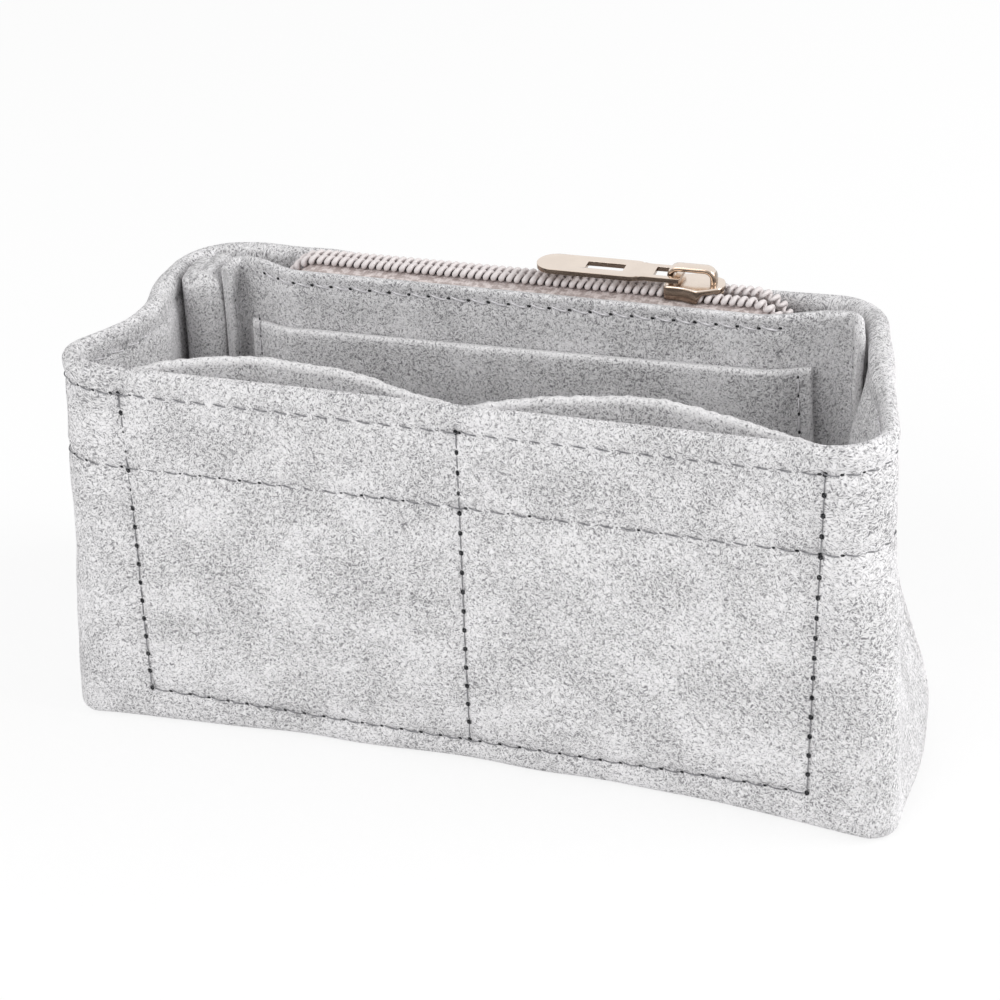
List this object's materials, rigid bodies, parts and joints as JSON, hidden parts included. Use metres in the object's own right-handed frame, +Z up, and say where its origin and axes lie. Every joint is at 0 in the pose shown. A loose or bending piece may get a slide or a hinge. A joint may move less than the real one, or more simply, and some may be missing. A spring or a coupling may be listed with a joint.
{
  "type": "purse organizer insert",
  "caption": "Soft felt box insert for a handbag, open at the top, with slip pockets inside the front wall and a zipped rear pocket with a sliding metal zipper pull.",
  "frame": {"origin": "centre of the overall box at the underside of the base", "axes": "+X along the width to the right as seen from the front, -Y towards the front wall with the slip pockets, +Y towards the zipped rear pocket, +Z up"},
  "size_m": [0.1638, 0.0736, 0.0831],
  "materials": {
    "felt": "light grey heather needle felt",
    "tape": "woven pinkish grey zipper tape",
    "coil": "nylon zipper coil",
    "zipper_metal": "polished pale champagne plating",
    "thread": "dark grey sewing thread"
  },
  "bodies": {
    "organizer": {"outer_wall": "felt", "base_panel": "felt", "front_pocket_panel": "felt", "zip_pocket_panel": "felt", "slip_pocket_panel": "felt", "corner_seam_fold": "felt", "zipper_tape_front": "tape", "zipper_tape_rear": "tape", "zipper_coil_front": "coil", "zipper_coil_rear": "coil", "hem_seam_upper": "thread", "hem_seam_lower": "thread", "pocket_seam_left": "thread", "pocket_seam_centre": "thread", "pocket_seam_right": "thread", "pocket_seam_bottom": "thread", "zip_seam": "thread", "slip_pocket_seam": "thread", "corner_seam_left": "thread", "corner_seam_right": "thread", "base_seam": "thread"},
    "slider": {"slider_body": "zipper_metal"},
    "tab": {"pull_tab": "zipper_metal"}
  },
  "joints": [
    {"name": "slider_slide", "type": "slide", "parent": "organizer", "child": "slider", "axis": [1, 0, 0], "range_m": [-0.066, 0.0025], "deforming": ["zipper_coil_front", "zipper_coil_rear"]},
    {"name": "pull_tab_swing", "type": "hinge", "parent": "slider", "child": "tab", "pos_m": [0.0293, 0.02009, 0.081], "axis": [0, 1, 0], "range_deg": [0, 130]}
  ]
}
